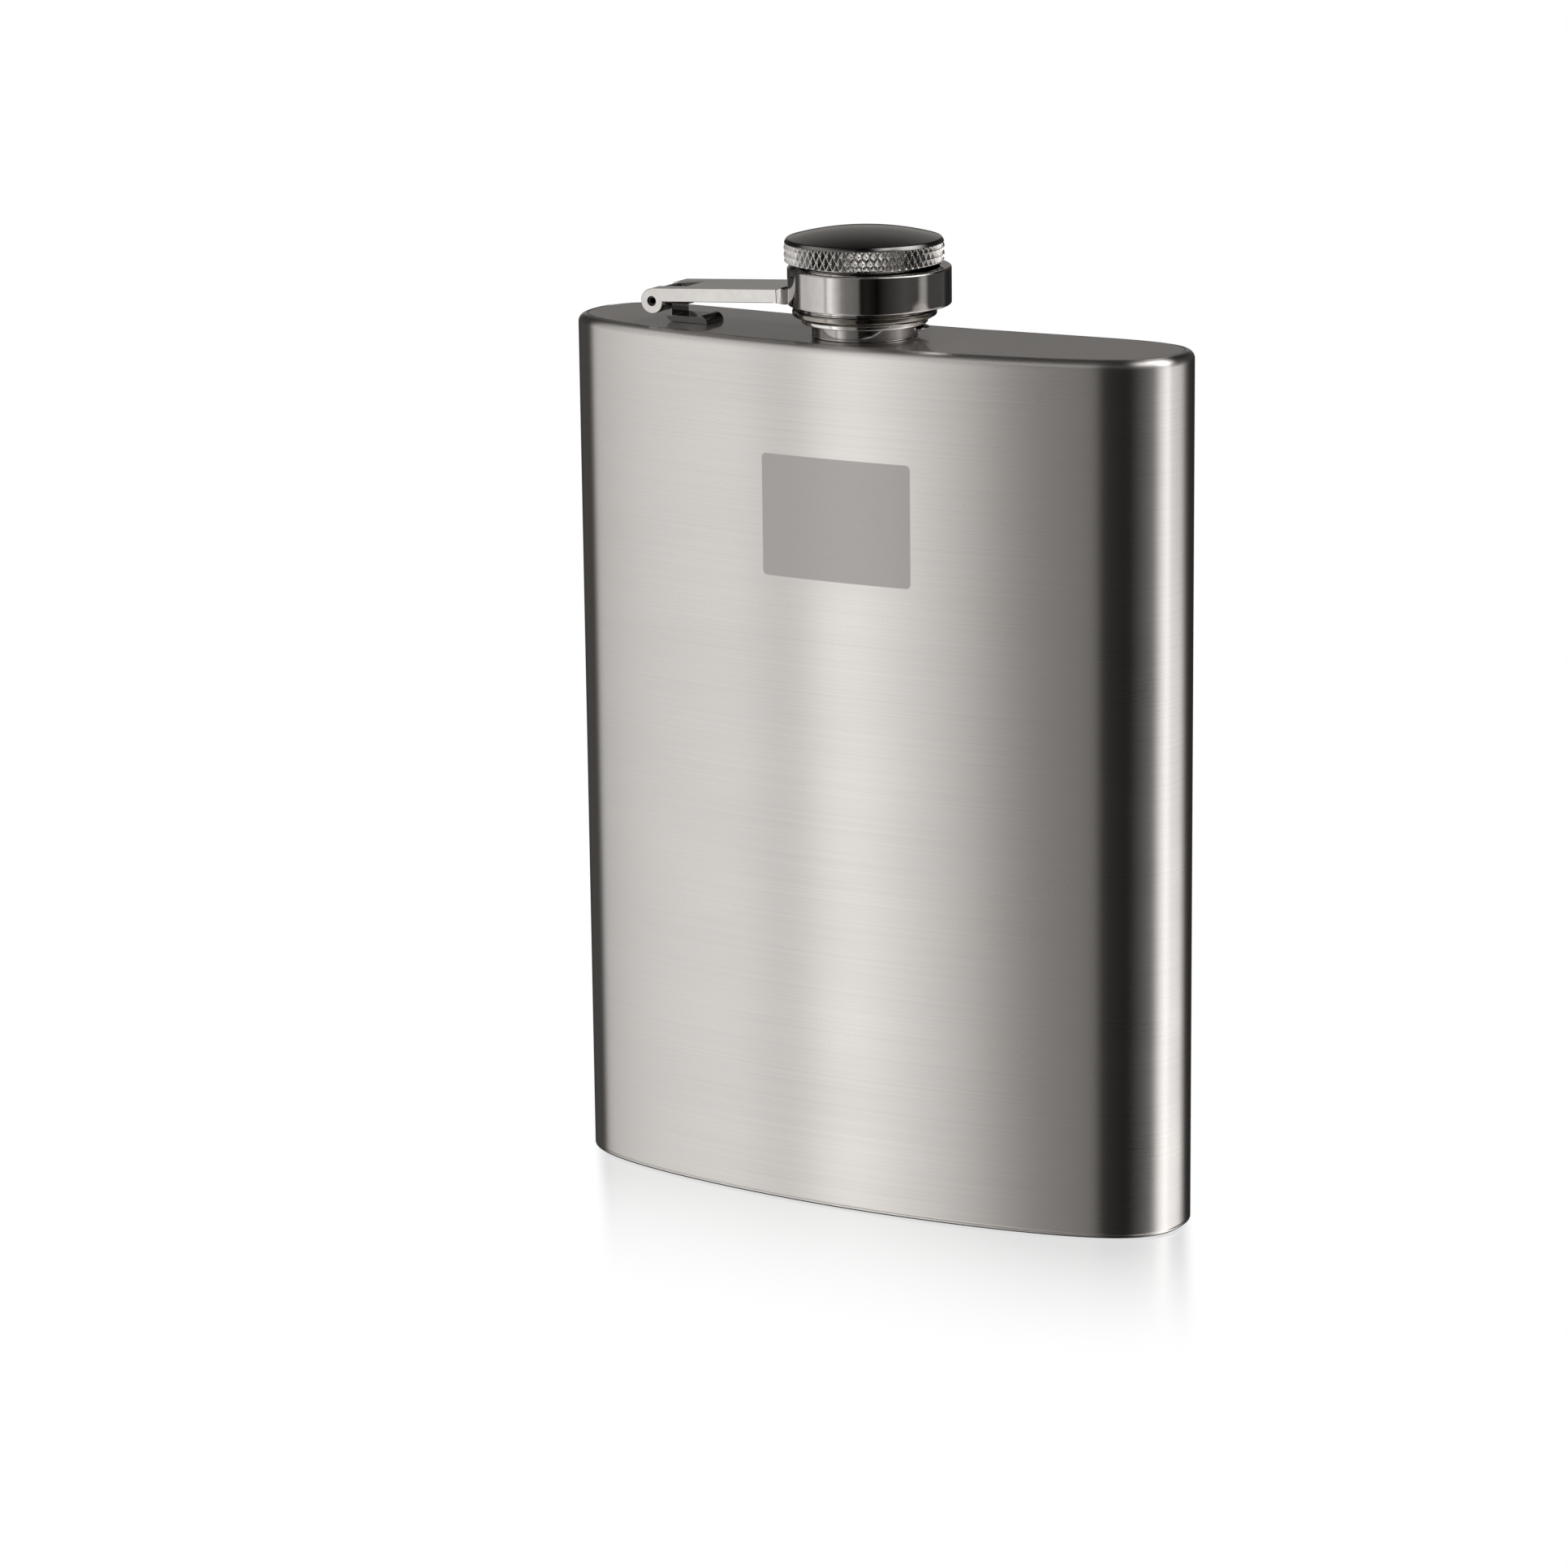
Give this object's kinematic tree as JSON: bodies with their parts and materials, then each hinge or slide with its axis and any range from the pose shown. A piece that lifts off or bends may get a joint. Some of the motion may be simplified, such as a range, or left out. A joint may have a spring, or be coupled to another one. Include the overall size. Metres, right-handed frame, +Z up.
{
  "type": "hip flask",
  "caption": "Kidney-shaped steel pocket flask with a threaded neck and a knurled, domed screw cap held captive by a swivel ring on a hinged arm.",
  "frame": {"origin": "centre of the flask's bounding box on the plane it stands on", "axes": "+Z up from the base to the cap, -Y out of the convex front face, +Y out of the hollow back face, -X towards the cap's hinge"},
  "size_m": [0.094, 0.0245, 0.1374],
  "materials": {
    "brushed_body": "horizontally brushed stainless sheet, satin",
    "satin_plate": "fine satin stainless plate",
    "polished_steel": "polished, mirror-like stainless steel",
    "silicone": "translucent white silicone"
  },
  "bodies": {
    "flask_body": {"body_shell": "brushed_body", "top_plate": "satin_plate", "base_plate": "satin_plate", "neck": "polished_steel", "hinge_bracket": "polished_steel"},
    "arm": {"captive_arm": "polished_steel", "swivel_ring": "polished_steel", "hinge_pin": "polished_steel"},
    "cap": {"cap_head": "polished_steel", "cap_barrel": "polished_steel", "retaining_collar": "polished_steel", "cap_seal": "silicone"}
  },
  "joints": [
    {"name": "arm_swing", "type": "hinge", "parent": "flask_body", "child": "arm", "pos_m": [-0.0311, -0.00098, 0.1257], "axis": [0, -1, 0], "range_deg": [0, 170]},
    {"name": "cap_spin", "type": "hinge", "parent": "arm", "child": "cap", "pos_m": [0, -0.00098, 0.1315], "axis": [0, 0, 1], "continuous": true}
  ]
}
